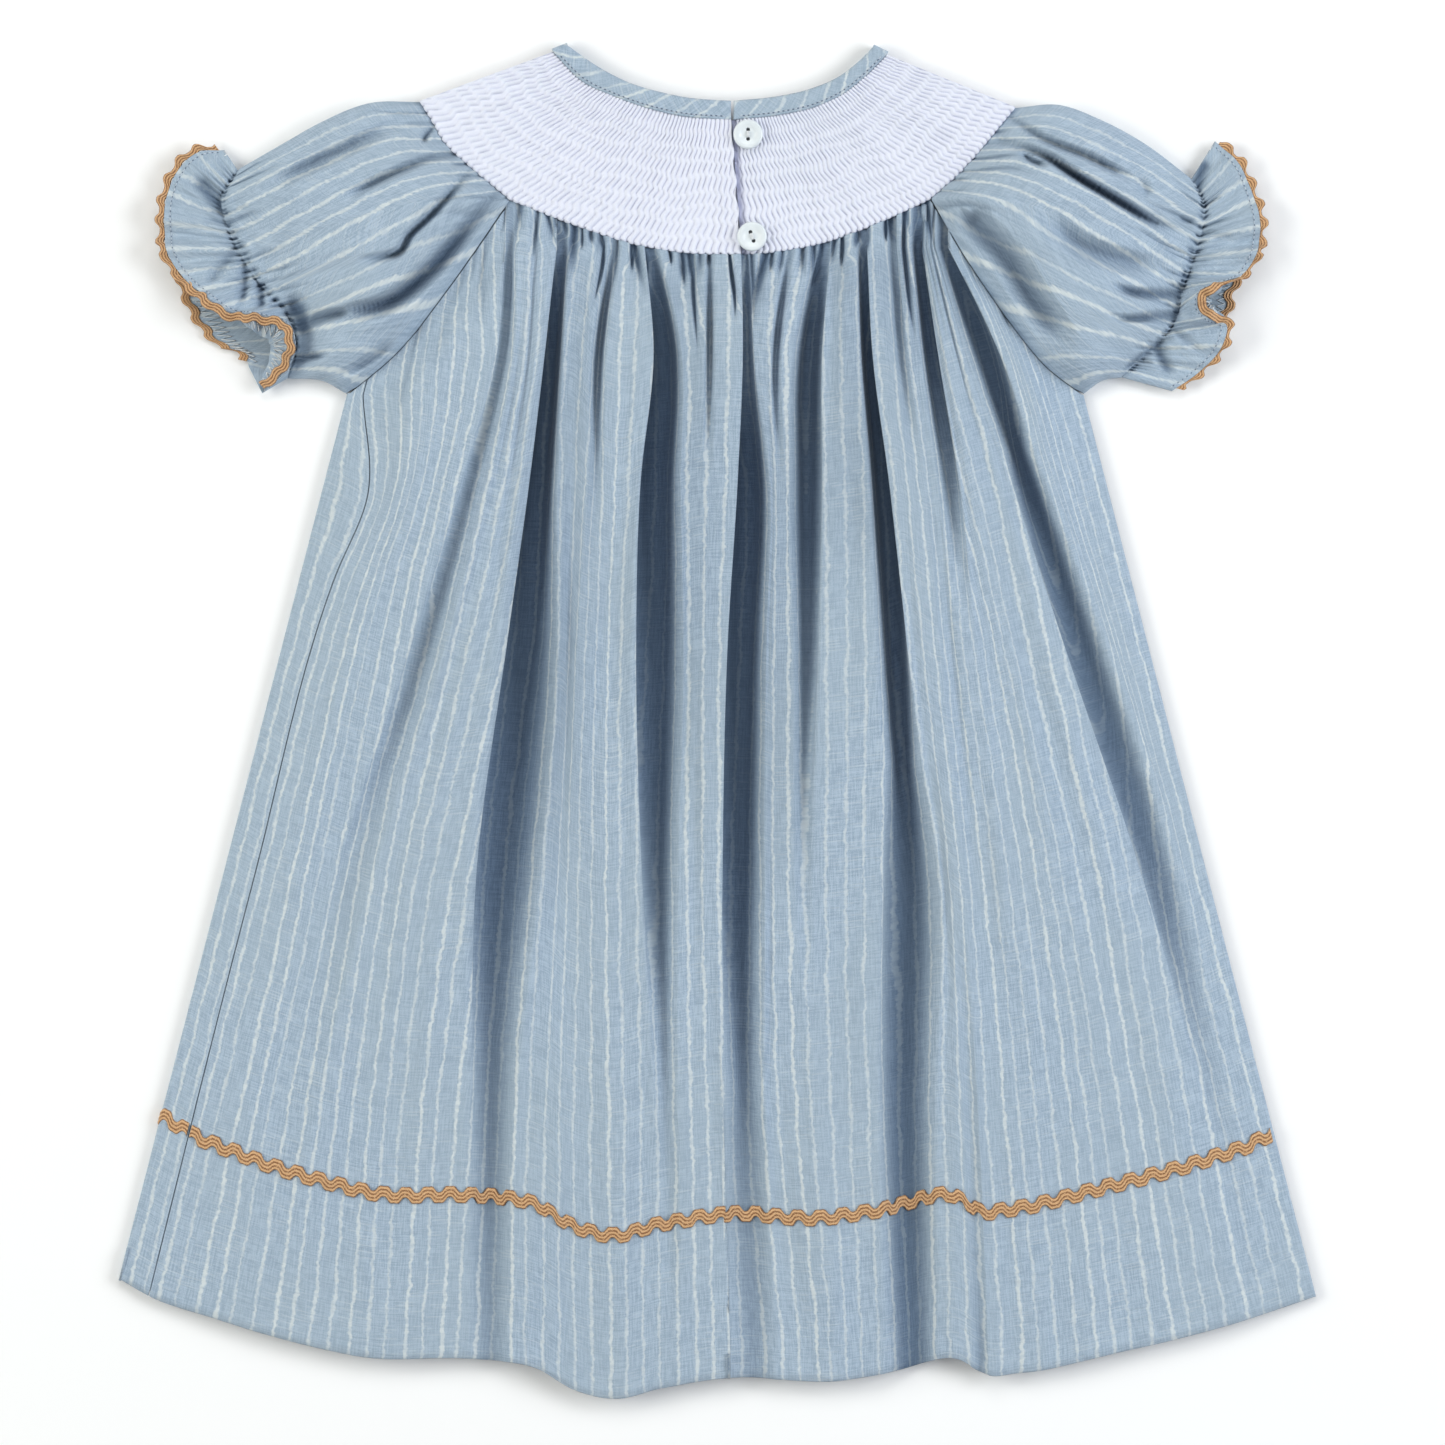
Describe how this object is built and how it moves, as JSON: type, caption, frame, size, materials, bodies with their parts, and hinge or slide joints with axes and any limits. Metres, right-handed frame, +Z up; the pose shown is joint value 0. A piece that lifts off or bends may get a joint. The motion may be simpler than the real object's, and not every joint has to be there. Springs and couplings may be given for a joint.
{
  "type": "smocked bishop dress with raglan puff sleeves, laid flat on its front",
  "caption": "Child's bishop dress laid flat, back up: smocked round yoke with a buttoned opening, gathered skirt, ruffled puff sleeves and rick-rack trim.",
  "frame": {"origin": "middle of the garment's bounding box on the surface that it lies on", "axes": "+Z up from the surface, +Y from the hem towards the neck, +X to the right of a viewer who looks at the buttoned back"},
  "size_m": [0.4556, 0.5144, 0.02],
  "materials": {
    "cotton": "matte",
    "yoke": "matte",
    "trim": "satin",
    "button": "gloss"
  },
  "bodies": {
    "root": {"skirt_back": "cotton", "skirt_front": "cotton", "hem_trim_back": "trim", "hem_trim_front": "trim", "sleeve_left": "cotton", "sleeve_right": "cotton", "cuff_trim_left": "trim", "cuff_trim_inner_left": "trim", "cuff_trim_right": "trim", "cuff_trim_inner_right": "trim", "yoke_front": "yoke", "yoke_back_left": "yoke", "yoke_back_right": "yoke", "neck_binding": "cotton", "button_top": "button", "button_bottom": "button"}
  },
  "joints": []
}
